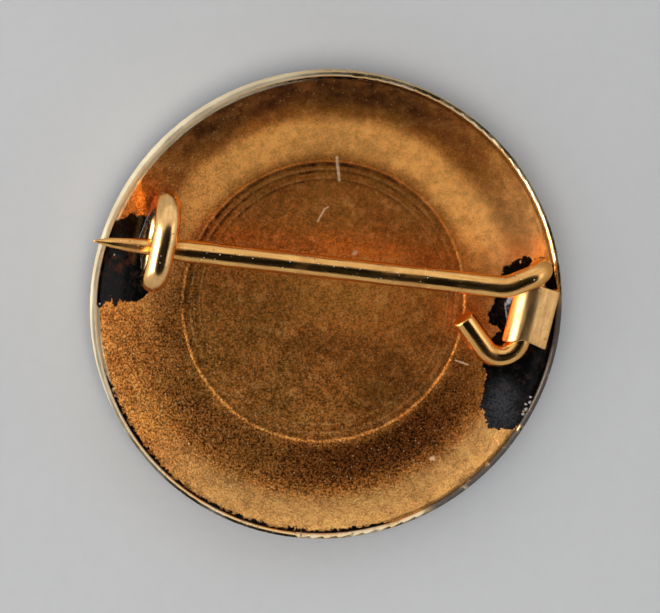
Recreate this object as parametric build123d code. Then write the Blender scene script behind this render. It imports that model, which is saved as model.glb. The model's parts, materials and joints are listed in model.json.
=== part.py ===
from build123d import *
import math
import os

# Round pin badge, lying on its front with its back and its pin facing up.
# Millimetres. +Z is up, out of the back. +X runs along the pin from its point
# to its hinge. The origin is the middle of the flat face that the badge lies on.

# ---- the dished disc --------------------------------------------------------
disc_radius = 12.0
flat_radius = 7.3          # flat middle, inside the raised border
slope_at_flat = 6.0        # degrees, where the border starts
slope_at_rim = 27.0        # degrees, where the border ends
enamel_thickness = 0.40    # glass on the front
metal_thickness = 0.30     # pressed gilt sheet
coat_thickness = 0.13      # black coat with gold lacquer over it
rim_width = 0.25           # polished edge of the sheet
rim_bulge = 0.06           # how far the edge stands above the coat
cell_wall = 0.30           # metal ring between the two enamel fields
step_height = 0.07         # pressed step around the flat middle
step_run = 0.15
groove_radii = (6.25, 6.70)
groove_width = 0.16
groove_depth = 0.035
edge_gutter = 0.12         # narrow dip in the coat beside the rim

# ---- the pin, one bent wire -------------------------------------------------
pin_diameter = 1.15
tip_diameter = 0.08
tip_overhang = 0.40        # beyond the rim
stem_y = 2.31              # where the stem meets the bend
stem_drift = 0.0077        # sideways slope of the stem
bend_before_hinge = 1.50   # where the stem starts to bend, from the hinge's middle
bend_radius = 1.80
loop_reach = 1.50          # how far the loop stands out past the strip
loop_clearance = 0.10      # between the stem and the crest of the strip
tail_start = 0.36          # from the strip's end to the start of the tail's bend
tail_bend_radius = 1.06
tail_turn = 131.0          # degrees, from the hinge axis back towards the middle
tail_length = 1.95         # straight part of the tail
tail_rise = 0.35
flex_before_bend = 0.90    # where the bending of the wire is gathered
flex_gap = 0.22            # free space between the two lengths of wire

# ---- the hinge, one folded strip --------------------------------------------
hinge_inset = 1.90         # from the rim
hinge_y = 0.70
hinge_turn = 6.0           # degrees, the hinge is not quite square to the pin
strip_thickness = 0.25
strip_wrap = 220.0         # degrees around the wire
hinge_clearance = 0.06     # around the wire
strip_left = (-1.55, 1.30)     # ends of the strip at its left side
strip_crest = (-1.10, 1.80)    # over the wire
strip_right = (-1.47, 1.60)    # at the fold beside the rim
flap_slope = 25.0          # degrees
flap_reach = 1.37          # outer face of the fold, from the wire's axis
solder_film = 0.04         # least solder between a fitting and the coat
solder_height = 0.20
solder_corner = 0.40
solder_inset = 0.25        # from the strip's ends
solder_shift = 0.30        # towards the flap
foot_sink = 0.20           # before the strip's foot is cut to the border

# ---- the catch, one bent wire -----------------------------------------------
catch_inset = 2.97         # from the rim
catch_diameter = 1.30
catch_low_y = 0.72         # centre of the wire at the open end
catch_high_y = 4.55        # centre of the wire at the closed end
catch_opening = 1.80       # between the two strands
catch_upright = 0.10       # straight wire between the two bends of the loop
hook_end_length = 0.18     # straight wire after the hook's bend
hook_lean = -0.30          # the free end leans towards the rim
pin_room = 0.13            # under the pin
hook_room = 0.22           # above the pin
pin_at_catch = 0.87        # the pin is already thinner where it passes the catch
bank_margin = 0.32         # of solder, beside the lower strand
strand_bank = 0.10         # the bank is higher here than at the hinge

# ---- what follows from those sizes ------------------------------------------
pin_radius = pin_diameter / 2
catch_radius = catch_diameter / 2
middle_back = enamel_thickness + metal_thickness + coat_thickness
border_back = middle_back + step_height
sin_flat = math.sin(math.radians(slope_at_flat))
sin_rim = math.sin(math.radians(slope_at_rim))
dish_radius = (disc_radius - flat_radius) / (sin_rim - sin_flat)
inner_rim = disc_radius - rim_width
hinge_x = disc_radius - hinge_inset
bend_start_x = hinge_x - bend_before_hinge
flex_x = bend_start_x - flex_before_bend
catch_x = catch_inset - disc_radius
catch_loop_radius = (catch_diameter + catch_opening - catch_upright) / 2
far = 2 * disc_radius


def slope_at(radius):
    """Slope of the border in degrees at a distance from the middle."""
    return math.degrees(math.asin(sin_flat + (radius - flat_radius) / dish_radius))


def border_rise(radius):
    """Height of the border above its own start."""
    here = math.cos(math.radians(slope_at(radius)))
    return dish_radius * (math.cos(math.radians(slope_at_flat)) - here)


def back_height(radius):
    """Height of the back of the border."""
    return border_back + border_rise(radius)


def border_arc(level, inner, outer):
    """The border's curve, in section, starting from a level at its foot."""
    start = math.radians(slope_at(inner))
    return JernArc(
        start=(inner, level + border_rise(inner)),
        tangent=(math.cos(start), math.sin(start)),
        radius=dish_radius,
        arc_size=slope_at(outer) - slope_at(inner),
    )


def turned(edges):
    """A solid of revolution about Z from a closed section in (radius, height)."""
    section = make_face(Wire([edge for line in edges for edge in line.edges()]))
    upright = Plane.XZ * section
    return revolve(upright, Axis.Z)


def badge_shell():
    """Pressed sheet with the wall between the enamel fields and the rolled rim."""
    under = enamel_thickness
    back = enamel_thickness + metal_thickness
    cell = flat_radius - cell_wall
    lip_foot = (inner_rim, back + step_height + border_rise(inner_rim))
    lip_in = (inner_rim, back_height(inner_rim))
    lip_out = (disc_radius, back_height(disc_radius))
    lip_top = ((inner_rim + disc_radius) / 2, (lip_in[1] + lip_out[1]) / 2 + rim_bulge)
    edges = [
        Polyline((0, under), (cell, under), (cell, 0), (flat_radius, 0), (flat_radius, under)),
        border_arc(under, flat_radius, inner_rim),
        Line((inner_rim, under + border_rise(inner_rim)), (inner_rim, border_rise(inner_rim))),
        border_arc(0, inner_rim, disc_radius),
        Line((disc_radius, border_rise(disc_radius)), lip_out),
        ThreePointArc(lip_out, lip_top, lip_in),
        Line(lip_in, lip_foot),
        border_arc(back + step_height, flat_radius, inner_rim),
        Polyline((flat_radius, back + step_height), (flat_radius - step_run, back), (0, back)),
        Line((0, back), (0, under)),
    ]
    return turned(edges)


def front_center_enamel():
    """Flat round field of glass."""
    return Pos(Z=enamel_thickness / 2) * Cylinder(flat_radius - cell_wall, enamel_thickness)


def front_border_enamel():
    """Sloping ring of glass around the middle field."""
    top_inner = (flat_radius, enamel_thickness)
    top_outer = (inner_rim, enamel_thickness + border_rise(inner_rim))
    edges = [
        border_arc(0, flat_radius, inner_rim),
        Line((inner_rim, border_rise(inner_rim)), top_outer),
        border_arc(enamel_thickness, flat_radius, inner_rim),
        Line(top_inner, (flat_radius, 0)),
    ]
    return turned(edges)


def back_coat():
    """Thin coat over the whole back, with the pressed rings showing in it."""
    metal = enamel_thickness + metal_thickness
    gutter = inner_rim - edge_gutter
    top = [(0, middle_back)]
    for radius in groove_radii:
        top.append((radius - groove_width / 2, middle_back))
        top.append((radius, middle_back - groove_depth))
        top.append((radius + groove_width / 2, middle_back))
    top.append((flat_radius - step_run, middle_back))
    top.append((flat_radius, border_back))
    rim_foot = metal + step_height + border_rise(inner_rim)
    edges = [
        Polyline(*top),
        border_arc(border_back, flat_radius, gutter),
        Line((gutter, back_height(gutter)), (inner_rim, rim_foot + coat_thickness / 2)),
        Line((inner_rim, rim_foot + coat_thickness / 2), (inner_rim, rim_foot)),
        border_arc(metal + step_height, flat_radius, inner_rim),
        Polyline((flat_radius, metal + step_height), (flat_radius - step_run, metal), (0, metal)),
        Line((0, metal), (0, middle_back)),
    ]
    return turned(edges)


def border_layer(height):
    """What lies on the border up to a height above it, for the solder."""
    inner = flat_radius + 0.05
    outer = inner_rim - edge_gutter
    edges = [
        border_arc(border_back, inner, outer),
        Line((outer, back_height(outer)), (outer, back_height(outer) + height)),
        border_arc(border_back + height, inner, outer),
        Line((inner, back_height(inner) + height), (inner, back_height(inner))),
    ]
    return turned(edges)


def round_wire(path, radius):
    """Round wire along a path."""
    return sweep((path ^ 0) * Circle(radius), path=path)


# ---- the hinge's place and height -------------------------------------------
strip_inside = pin_radius + hinge_clearance
strip_outside = strip_inside + strip_thickness
crest_distance = math.hypot(hinge_x, hinge_y + strip_crest[1])
hinge_slope = math.radians(slope_at(crest_distance))
hinge_height = back_height(crest_distance) + solder_film
hinge_height = hinge_height + strip_outside / math.cos(hinge_slope)
hinge_frame = Location((hinge_x, hinge_y, hinge_height), (0, 0, -hinge_turn))
axis_x = math.sin(math.radians(hinge_turn))
axis_y = math.cos(math.radians(hinge_turn))

# ---- heights of the catch and of the pin ------------------------------------
catch_contact = math.hypot(catch_x, catch_high_y - catch_loop_radius)
catch_slope = math.radians(slope_at(catch_contact))
catch_low_z = back_height(catch_contact) + catch_radius / math.cos(catch_slope) + solder_film
catch_high_z = catch_low_z + catch_diameter + catch_opening
pin_at_catch_z = catch_low_z + catch_radius + pin_room + pin_at_catch / 2
hook_end_z = pin_at_catch_z + pin_at_catch / 2 + hook_room
hook_radius = catch_high_z - hook_end_z - hook_end_length
stem_z = hinge_height + strip_outside + pin_radius + loop_clearance
stem_climb = (stem_z - pin_at_catch_z) / (bend_start_x - catch_x)
tip_x = -(disc_radius + tip_overhang)


def stem_point(x):
    """Point on the straight part of the pin's centre line."""
    return Vector(
        x,
        stem_y + stem_drift * (x - bend_start_x),
        stem_z + stem_climb * (x - bend_start_x),
    )


def along_axis(y):
    """Point on the hinge's axis at a distance y from the badge's X axis."""
    return Vector(hinge_x + (y - hinge_y) * axis_x / axis_y, y, hinge_height)


def pin_path():
    """Centre line of the wire from the flex gap, through the hinge, to the tail."""
    loop_foot = along_axis(strip_crest[1] + loop_reach)
    loop_top = loop_foot + Vector(0, 0, stem_z - hinge_height)
    loop_radius = 0.495 * (stem_z - hinge_height)
    half_turn = math.radians(tail_turn / 2)
    setback = tail_bend_radius * math.tan(half_turn)
    corner = along_axis(hinge_y + strip_left[0] + tail_start - setback)
    heading = math.radians(-90 - hinge_turn - tail_turn)
    reach = setback + tail_length
    tail_end = corner + Vector(reach * math.cos(heading), reach * math.sin(heading), tail_rise)
    return FilletPolyline(
        stem_point(flex_x + flex_gap / 2),
        stem_point(bend_start_x),
        loop_top,
        loop_foot,
        corner,
        tail_end,
        radius=[bend_radius, loop_radius, loop_radius, tail_bend_radius],
    )


def pin_axle():
    """Root of the pin: the loop, the length inside the hinge and the tail."""
    return round_wire(pin_path(), pin_radius)


def pin_stem():
    """Straight part of the pin, drawn out to a point."""
    start = stem_point(flex_x - flex_gap / 2)
    tip = stem_point(tip_x)
    length = (start - tip).length
    taper = [(0.0, tip_diameter), (0.9, 0.52), (2.0, 0.76), (3.4, pin_at_catch), (4.7, pin_diameter)]
    outline = [(0, 0)]
    for distance, diameter in taper:
        outline.append((diameter / 2, distance))
    outline.append((pin_radius, length))
    outline.append((0, length))
    section = make_face(Polyline(*outline, close=True))
    bar = revolve(Plane.XZ * section, Axis.Z)
    return Plane(origin=tip, z_dir=start - tip).location * bar


def hinge_strip_path():
    """Centre line of the folded strip in section, with the wire at the origin."""
    middle = strip_inside + strip_thickness / 2
    leaves = 90 - flap_slope
    flap_start = Vector(middle, 0).rotate(Axis.Z, leaves)
    fold_x = flap_reach - strip_thickness / 2
    drop = (fold_x - flap_start.X) * math.tan(math.radians(flap_slope))
    fold = (fold_x, flap_start.Y - drop)
    foot = (fold_x, back_height(hinge_x + fold_x) - foot_sink - hinge_height)
    roll = CenterArc((0, 0), middle, leaves, strip_wrap)
    return Curve() + [roll, Polyline((flap_start.X, flap_start.Y), fold, foot)]


def hinge_knuckle(disc):
    """Strip folded around the wire, with its foot on the border."""
    section = trace(hinge_strip_path(), strip_thickness)
    long = 3 * strip_crest[1]
    strip = extrude(Plane.XZ * section, long, both=True)
    left = -1.5 * strip_outside
    right = 1.5 * flap_reach
    outline = Polyline(
        (left, strip_left[0]),
        (-strip_outside, strip_left[0]),
        (0, strip_crest[0]),
        (flap_reach, strip_right[0]),
        (right, strip_right[0]),
        (right, strip_right[1]),
        (flap_reach, strip_right[1]),
        (0, strip_crest[1]),
        (-strip_outside, strip_left[1]),
        (left, strip_left[1]),
        close=True,
    )
    cut = extrude(make_face(outline), far, both=True)
    return hinge_frame * (strip & cut) - disc


def hinge_solder(knuckle):
    """Low bank of solder around the hinge."""
    width = strip_outside + flap_reach - solder_inset
    length = strip_crest[1] - strip_crest[0] - 2 * solder_inset
    middle = (solder_shift, (strip_crest[0] + strip_crest[1]) / 2)
    pad = Pos(*middle) * RectangleRounded(width, length, solder_corner)
    bank = hinge_frame * extrude(pad, far, both=True)
    return (border_layer(solder_height) & bank) - knuckle


def catch_path():
    """Centre line of the catch: along the border, up, back over and down."""
    low_z = catch_low_z
    high_z = catch_high_z
    return FilletPolyline(
        (catch_x, catch_low_y, low_z),
        (catch_x, catch_high_y, low_z),
        (catch_x, catch_high_y, high_z),
        (catch_x + hook_lean, catch_low_y, high_z),
        (catch_x + hook_lean, catch_low_y, hook_end_z),
        radius=[catch_loop_radius, catch_loop_radius, hook_radius],
    )


def catch_wire():
    """Round wire bent into a hook that the pin snaps under."""
    return round_wire(catch_path(), catch_radius)


def catch_solder(catch):
    """Low bank of solder along the lower strand of the catch."""
    length = catch_high_y - catch_low_y - 2 * solder_inset
    middle_y = (catch_low_y + catch_high_y - catch_loop_radius / 2) / 2
    width = catch_diameter + bank_margin
    pad = Pos(catch_x, middle_y) * RectangleRounded(width, length, solder_corner)
    bank = extrude(pad, far, both=True)
    return (border_layer(solder_height + strand_bank) & bank) - catch


def save(name, shape):
    """Write one piece, and say how large it is."""
    export_step(shape, f"parts/{name}.step")
    print(f"{name}: {len(shape.solids())} solid, {shape.volume:.3f} mm3")


os.makedirs("parts", exist_ok=True)
shell = badge_shell()
coat = back_coat()
disc = shell + coat
knuckle = hinge_knuckle(disc)
catch = catch_wire()
save("badge_shell", shell)
save("front_center_enamel", front_center_enamel())
save("front_border_enamel", front_border_enamel())
save("back_coat", coat)
save("hinge_knuckle", knuckle)
save("hinge_solder", hinge_solder(knuckle))
save("catch_wire", catch)
save("catch_solder", catch_solder(catch))
save("pin_axle", pin_axle())
save("pin_stem", pin_stem())
print("hinge axis through", along_axis(hinge_y), "direction", (axis_x, axis_y, 0))
print("flex axis through", stem_point(flex_x))
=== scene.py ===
import bpy
import bmesh
import json
import math
import numpy as np
from mathutils import Matrix, Vector, noise
from mathutils.bvhtree import BVHTree


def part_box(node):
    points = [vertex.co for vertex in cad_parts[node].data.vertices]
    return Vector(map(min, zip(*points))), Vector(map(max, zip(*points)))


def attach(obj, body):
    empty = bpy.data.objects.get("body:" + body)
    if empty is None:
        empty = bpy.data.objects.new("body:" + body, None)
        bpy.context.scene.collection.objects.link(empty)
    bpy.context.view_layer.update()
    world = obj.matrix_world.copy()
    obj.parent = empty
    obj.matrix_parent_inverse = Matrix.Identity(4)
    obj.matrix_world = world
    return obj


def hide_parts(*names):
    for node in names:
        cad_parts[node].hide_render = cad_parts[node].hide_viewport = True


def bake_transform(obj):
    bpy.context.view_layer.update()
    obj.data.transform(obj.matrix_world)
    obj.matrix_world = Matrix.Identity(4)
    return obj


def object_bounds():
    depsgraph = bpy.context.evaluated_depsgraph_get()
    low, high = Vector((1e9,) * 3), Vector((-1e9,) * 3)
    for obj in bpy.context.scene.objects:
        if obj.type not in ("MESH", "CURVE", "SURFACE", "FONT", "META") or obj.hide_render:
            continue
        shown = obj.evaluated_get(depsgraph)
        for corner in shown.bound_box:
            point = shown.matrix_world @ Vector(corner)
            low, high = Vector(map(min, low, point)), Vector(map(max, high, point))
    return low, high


# %% [markdown]
# # A round pin badge, seen from behind
# The badge lies on its front. Its back is a shallow dish of pressed sheet, coated black and
# lacquered gold, with a wire pin hinged at one side and held by a bent wire at the other.
# This lesson keeps the disc from the CAD model as it is, because pressed sheet is exactly what CAD
# draws well, and rebuilds the wires and the folded strip, because bent metal is softer than CAD.

# %% The frame: the CAD model, its size, and the units
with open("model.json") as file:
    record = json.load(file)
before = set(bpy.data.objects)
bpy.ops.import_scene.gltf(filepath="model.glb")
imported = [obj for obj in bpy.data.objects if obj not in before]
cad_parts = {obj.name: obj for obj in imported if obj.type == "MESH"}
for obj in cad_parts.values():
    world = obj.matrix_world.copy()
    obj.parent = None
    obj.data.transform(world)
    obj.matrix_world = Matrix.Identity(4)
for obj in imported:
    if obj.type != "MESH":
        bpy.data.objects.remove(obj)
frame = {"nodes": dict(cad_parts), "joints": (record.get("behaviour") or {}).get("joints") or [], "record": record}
cad_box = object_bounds()
nodes = frame["nodes"]
joints = {joint["name"]: joint for joint in frame["joints"]}
MM = 0.001


def box_mm(name):
    """Lowest and highest corner of a CAD node, in millimetres."""
    low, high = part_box(name)
    return low / MM, high / MM


shell_high = box_mm("badge_shell")[1]
disc_radius = shell_high.x
rim_top = shell_high.z
coat_radius = box_mm("back_coat")[1].x
print("disc", round(2 * disc_radius, 2), "mm across, rim", round(rim_top, 2), "mm up")

# %% [markdown]
# ## The camera
# Small things are shot from above with a long lens. The camera stands a little to the left of the
# badge and a little above it, so the far walls of the dish show. It is placed by two tilt angles
# and a roll, because those are what a person adjusts on a copy stand.

# %% The camera on its stand
tilt_left = math.radians(8.8)
tilt_up = math.radians(10.75)
roll = math.radians(6.4)
camera_distance = 350.0
view_width = 33.33
right_hand = Vector((math.cos(roll), math.sin(roll), 0))
up_page = Vector((-math.sin(roll), math.cos(roll), 0))
towards_camera = Vector((0, 0, 1)) - math.tan(tilt_left) * right_hand + math.tan(tilt_up) * up_page
towards_camera.normalize()
camera_up = towards_camera.cross(right_hand).normalized()
camera_right = camera_up.cross(towards_camera)
aim = Vector((0, 0, rim_top)) + 0.10 * camera_right + 0.02 * camera_up

camera_data = bpy.data.cameras.new("copy_camera")
camera_data.sensor_width = 36
camera_data.lens = camera_data.sensor_width * camera_distance / view_width
camera_data.clip_start = 0.01
camera_data.clip_end = 10
camera = bpy.data.objects.new("copy_camera", camera_data)
bpy.context.scene.collection.objects.link(camera)
turn = Matrix((camera_right, camera_up, towards_camera)).transposed().to_4x4()
camera.matrix_world = Matrix.Translation((aim + camera_distance * towards_camera) * MM) @ turn
bpy.context.scene.camera = camera
bpy.context.scene.view_settings.view_transform = "Standard"
print("camera at", [round(v, 4) for v in camera.matrix_world.translation])

# %% [markdown]
# ## Light
# Polished wire shows the room as bands, so the room matters more than the lamps' strength. Here the
# room is a white tent that is dark overhead, where the camera looks in, and each wire gets a black
# band along its middle and pale bands beside it. The tent is the world's own colour, worked out
# from direction. A strong soft box low on the left puts the white glints on the bent metal, a weak
# one on the right lights the slope beside the catch, and one overhead lights only what is matt, so
# the metal still mirrors the dark opening.


# %% The tent
def direction(across, upwards):
    """A direction from two tilts in degrees, to the right and towards the top of the page."""
    way = Vector((0, 0, 1)) + math.tan(math.radians(across)) * right_hand
    return (way + math.tan(math.radians(upwards)) * up_page).normalized()


world = bpy.data.worlds.new("white_tent")
world.use_nodes = True
sky = world.node_tree
looking = sky.nodes.new("ShaderNodeTexCoord").outputs["Generated"]


def sky_ramp(way, low, high, out_low, out_high):
    """A value that changes between two cosines of the angle from a direction."""
    dot = sky.nodes.new("ShaderNodeVectorMath")
    dot.operation = "DOT_PRODUCT"
    dot.inputs[1].default_value = way
    sky.links.new(looking, dot.inputs[0])
    step = sky.nodes.new("ShaderNodeMapRange")
    step.interpolation_type = "SMOOTHSTEP"
    sky.links.new(dot.outputs["Value"], step.inputs["Value"])
    for label, value in (("From Min", low), ("From Max", high), ("To Min", out_low), ("To Max", out_high)):
        step.inputs[label].default_value = value
    return step.outputs["Result"]


opening = sky_ramp(direction(4, -9), math.cos(math.radians(48)), math.cos(math.radians(35)), 1.0, 0.012)
walls = sky_ramp(tuple(up_page), -0.6, 0.9, 0.58, 0.92)
strength = sky.nodes.new("ShaderNodeMath")
strength.operation = "MULTIPLY"
sky.links.new(opening, strength.inputs[0])
sky.links.new(walls, strength.inputs[1])
background = sky.nodes["Background"]
background.inputs["Color"].default_value = (1.0, 0.995, 0.985, 1)
sky.links.new(strength.outputs[0], background.inputs["Strength"])
bpy.context.scene.world = world
print("tent, open overhead")


# %% Soft boxes
def soft_box(name, side, lift, reach, width, height, brightness):
    """A rectangular lamp: side and lift in degrees, sizes in millimetres."""
    around = math.radians(side)
    above = math.radians(lift)
    level = math.cos(around) * right_hand + math.sin(around) * up_page
    way = math.cos(above) * level + math.sin(above) * Vector((0, 0, 1))
    data = bpy.data.lights.new(name, "AREA")
    data.shape = "RECTANGLE"
    data.size = width * MM
    data.size_y = height * MM
    data.energy = brightness * math.pi * data.size * data.size_y
    lamp = bpy.data.objects.new(name, data)
    lamp.location = way * reach * MM
    lamp.rotation_euler = way.to_track_quat("Z", "Y").to_euler()
    bpy.context.scene.collection.objects.link(lamp)
    print(name, "power", round(data.energy, 3), "W")
    return lamp


soft_box("box_left", 182, 20, 200, 170, 140, 7.0).visible_diffuse = False
soft_box("box_right", 2, 36, 220, 160, 90, 0.62).visible_diffuse = False
soft_box("box_above", 200, 78, 330, 260, 260, 2.1).visible_glossy = False


# %% [markdown]
# ## Helpers for materials
# A material here is a small chain of nodes. Writing each node as one call keeps the chain readable:
# the call names the kind of node, the values of its sockets, and what is linked into them.


# %% Node helpers
def add(tree, kind, options=None, **inputs):
    """Add a node; an input is a value, or an output socket to link from."""
    item = tree.nodes.new(kind)
    for key, value in (options or {}).items():
        setattr(item, key, value)
    for key, value in inputs.items():
        name = key.replace("_", " ")
        socket = item.inputs[int(key[1:])] if key[1:].isdigit() else item.inputs[name]
        if isinstance(value, bpy.types.NodeSocket):
            tree.links.new(value, socket)
        elif isinstance(value, (tuple, list)) and len(socket.default_value) == 4:
            socket.default_value = (*value[:3], 1)
        else:
            socket.default_value = value
    return item


def math_node(tree, operation, first, second=0.0, clamp=False):
    """One sum on two values."""
    item = add(tree, "ShaderNodeMath", {"operation": operation, "use_clamp": clamp}, _0=first, _1=second)
    return item.outputs[0]


def folded(operation):
    """A helper that applies one operation to two or more values, from the left."""

    def helper(tree, *values):
        result = values[0]
        for value in values[1:]:
            result = math_node(tree, operation, result, value)
        return result

    return helper


product, total, less, most = (folded(name) for name in ("MULTIPLY", "ADD", "SUBTRACT", "MAXIMUM"))


def line_of(tree, value, factor, offset):
    """A value times a factor, plus an offset."""
    item = add(tree, "ShaderNodeMath", {"operation": "MULTIPLY_ADD"}, _0=value, _1=factor, _2=offset)
    return item.outputs[0]


def vector(tree, operation, first, second=(0, 0, 0), out="Vector"):
    """One sum on two vectors."""
    return add(tree, "ShaderNodeVectorMath", {"operation": operation}, _0=first, _1=second).outputs[out]


def ramp(tree, value, low, high, out_low=0.0, out_high=1.0):
    """Smooth step of a value between two limits."""
    item = add(tree, "ShaderNodeMapRange", {"interpolation_type": "SMOOTHSTEP"}, Value=value)
    item.inputs["From Min"].default_value = low
    item.inputs["From Max"].default_value = high
    item.inputs["To Min"].default_value = out_low
    item.inputs["To Max"].default_value = out_high
    return item.outputs["Result"]


def mix(tree, factor, first, second):
    """Mix of two colours."""
    item = add(tree, "ShaderNodeMix", {"data_type": "RGBA"}, _0=factor)
    for index, value in ((6, first), (7, second)):
        if isinstance(value, bpy.types.NodeSocket):
            tree.links.new(value, item.inputs[index])
        else:
            item.inputs[index].default_value = (*value, 1)
    return item.outputs[2]


def scaled(tree, colour, factor):
    """A colour or a place times a factor."""
    return add(tree, "ShaderNodeVectorMath", {"operation": "SCALE"}, _0=colour, Scale=factor).outputs[0]


def over(tree, base, colour, *masks):
    """A colour laid over a base as far as the masks say, all multiplied together."""
    return mix(tree, product(tree, *masks), base, colour)


def noise_at(tree, place, scale, detail=3.0, rough=0.55):
    """Noise value, with its scale in waves per millimetre."""
    item = add(tree, "ShaderNodeTexNoise", Vector=place, Scale=scale, Detail=detail, Roughness=rough)
    return item.outputs[0]


def new_group(name, ins, outs):
    """A node group with named sockets; returns the tree and its two ends."""
    tree = bpy.data.node_groups.new(name, "ShaderNodeTree")
    kinds = {"v": "NodeSocketVector", "f": "NodeSocketFloat"}
    for label, kind, value in ins:
        socket = tree.interface.new_socket(label, in_out="INPUT", socket_type=kinds[kind])
        if value is not None:
            socket.default_value = value
    for label, kind in outs:
        tree.interface.new_socket(label, in_out="OUTPUT", socket_type=kinds[kind])
    return tree, tree.nodes.new("NodeGroupInput").outputs, tree.nodes.new("NodeGroupOutput").inputs


def use(tree, group, **inputs):
    """Place a node group in a tree."""
    return add(tree, "ShaderNodeGroup", {"node_tree": group}, **inputs).outputs


def dots_at(tree, place, scale, size, share):
    """Mask of sparse dots; share is how many of the possible ones are there."""
    return use(tree, pits, Place=place, Scale=scale, Size=size, Share=share)["Mask"]


def new_material(name):
    """An empty material; returns it, its tree and its Principled shader."""
    material = bpy.data.materials.new(name)
    material.use_nodes = True
    tree = material.node_tree
    return material, tree, tree.nodes["Principled BSDF"]


def place_mm(tree):
    """Position on the object at rest, in millimetres."""
    here = add(tree, "ShaderNodeTexCoord").outputs["Object"]
    return scaled(tree, here, 1 / MM)


def wire_mm(tree):
    """Place along and around a wire or strip, stored on its points when it was made."""
    return add(tree, "ShaderNodeAttribute", {"attribute_name": "along_metal"}).outputs["Vector"]


def bump(tree, height_mm, strength):
    """Relief from a height in millimetres."""
    item = add(tree, "ShaderNodeBump", Height=height_mm, Strength=strength)
    item.inputs["Distance"].default_value = MM
    return item.outputs[0]


def connect(tree, shader, colour, rough, height, strength):
    """Link a colour, a roughness and a relief into a shader."""
    tree.links.new(colour, shader.inputs["Base Color"])
    tree.links.new(rough, shader.inputs["Roughness"])
    tree.links.new(bump(tree, height, strength), shader.inputs["Normal"])


print("helpers ready")

# %% [markdown]
# ## Effects that several finishes share
# Five effects come back in more than one finish: grain, pits, drawn lines, ragged patches and
# single strokes. Each is a node group that puts out a mask or a height.

# %% Grain: the powdery texture of paint and of cast or etched metal
grain, ends_in, ends_out = new_group(
    "Grain", [("Place", "v", None), ("Scale", "f", 10.0)], [("Mask", "f"), ("Height", "f")]
)
fine = add(grain, "ShaderNodeTexNoise", Vector=ends_in["Place"], Scale=ends_in["Scale"], Detail=4.0)
cells = add(grain, "ShaderNodeTexVoronoi", Vector=ends_in["Place"], Scale=ends_in["Scale"])
both = product(grain, fine.outputs[0], total(grain, cells.outputs[0], 0.35))
grain.links.new(ramp(grain, fine.outputs[0], 0.42, 0.60), ends_out["Mask"])
grain.links.new(product(grain, both, 0.016), ends_out["Height"])
print("group", grain.name)

# %% Pits: sparse dots, used for dust, sparkle and corrosion
pits, ends_in, ends_out = new_group(
    "Pits",
    [("Place", "v", None), ("Scale", "f", 3.0), ("Size", "f", 0.12), ("Share", "f", 0.35)],
    [("Mask", "f")],
)
dots = add(pits, "ShaderNodeTexVoronoi", Vector=ends_in["Place"], Scale=ends_in["Scale"])
chosen = add(pits, "ShaderNodeSeparateColor", Color=dots.outputs["Color"]).outputs[0]
near = math_node(pits, "LESS_THAN", dots.outputs["Distance"], ends_in["Size"])
few = math_node(pits, "LESS_THAN", chosen, ends_in["Share"])
pits.links.new(product(pits, near, few), ends_out["Mask"])
print("group", pits.name)

# %% Drawn lines: what a die leaves along a wire or a rolled strip
lines, ends_in, ends_out = new_group(
    "Drawn lines", [("Place", "v", None), ("Scale", "f", 6.0)], [("Mask", "f"), ("Height", "f")]
)
stretch = vector(lines, "MULTIPLY", ends_in["Place"], (0.06, 1, 1))
streaks = add(lines, "ShaderNodeTexNoise", Vector=stretch, Scale=ends_in["Scale"], Detail=5.0)
lines.links.new(ramp(lines, streaks.outputs[0], 0.35, 0.65), ends_out["Mask"])
lines.links.new(product(lines, streaks.outputs[0], 0.010), ends_out["Height"])
print("group", lines.name)

# %% Ragged patch: an oval with a torn edge, where a coat is missing
patch, ends_in, ends_out = new_group(
    "Ragged patch",
    [
        ("Place", "v", None),
        ("Middle", "v", (0, 0, 0)),
        ("Spread", "v", (1, 1, 1)),
        ("Raggedness", "f", 0.3),
        ("Softness", "f", 0.03),
    ],
    [("Mask", "f")],
)
offset = vector(patch, "SUBTRACT", ends_in["Place"], ends_in["Middle"])
ratio = vector(patch, "DIVIDE", vector(patch, "MULTIPLY", offset, (1, 1, 0)), ends_in["Spread"])
span = vector(patch, "LENGTH", ratio, out="Value")
tear = product(patch, less(patch, noise_at(patch, ends_in["Place"], 0.9, 7.0, 0.62), 0.5), 4.0)
torn = line_of(patch, tear, ends_in["Raggedness"], span)
inside = less(patch, 1.0, torn)
soft = add(patch, "ShaderNodeMapRange", {"interpolation_type": "SMOOTHSTEP"}, Value=inside)
patch.links.new(ends_in["Softness"], soft.inputs["From Max"])
patch.links.new(soft.outputs["Result"], ends_out["Mask"])
print("group", patch.name)

# %% Stroke: one scratch or fibre between two points
stroke, ends_in, ends_out = new_group(
    "Stroke",
    [
        ("Place", "v", None),
        ("Start", "v", (0, 0, 0)),
        ("Way", "v", (1, 0, 0)),
        ("Length", "f", 1.0),
        ("Width", "f", 0.05),
    ],
    [("Mask", "f")],
)
gap = vector(stroke, "SUBTRACT", ends_in["Place"], ends_in["Start"])
gap = vector(stroke, "MULTIPLY", gap, (1, 1, 0))
run = vector(stroke, "DOT_PRODUCT", gap, ends_in["Way"], out="Value")
held = math_node(stroke, "MINIMUM", most(stroke, run, 0.0), ends_in["Length"])
off = vector(stroke, "DISTANCE", gap, scaled(stroke, ends_in["Way"], held), out="Value")
wobble = add(stroke, "ShaderNodeTexNoise", Vector=ends_in["Place"], Scale=5.0, Detail=3.0).outputs[0]
width_here = product(stroke, total(stroke, wobble, 0.45), ends_in["Width"])
share = math_node(stroke, "DIVIDE", off, width_here)
stroke.links.new(ramp(stroke, share, 1.0, 0.4), ends_out["Mask"])
print("group", stroke.name)

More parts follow.
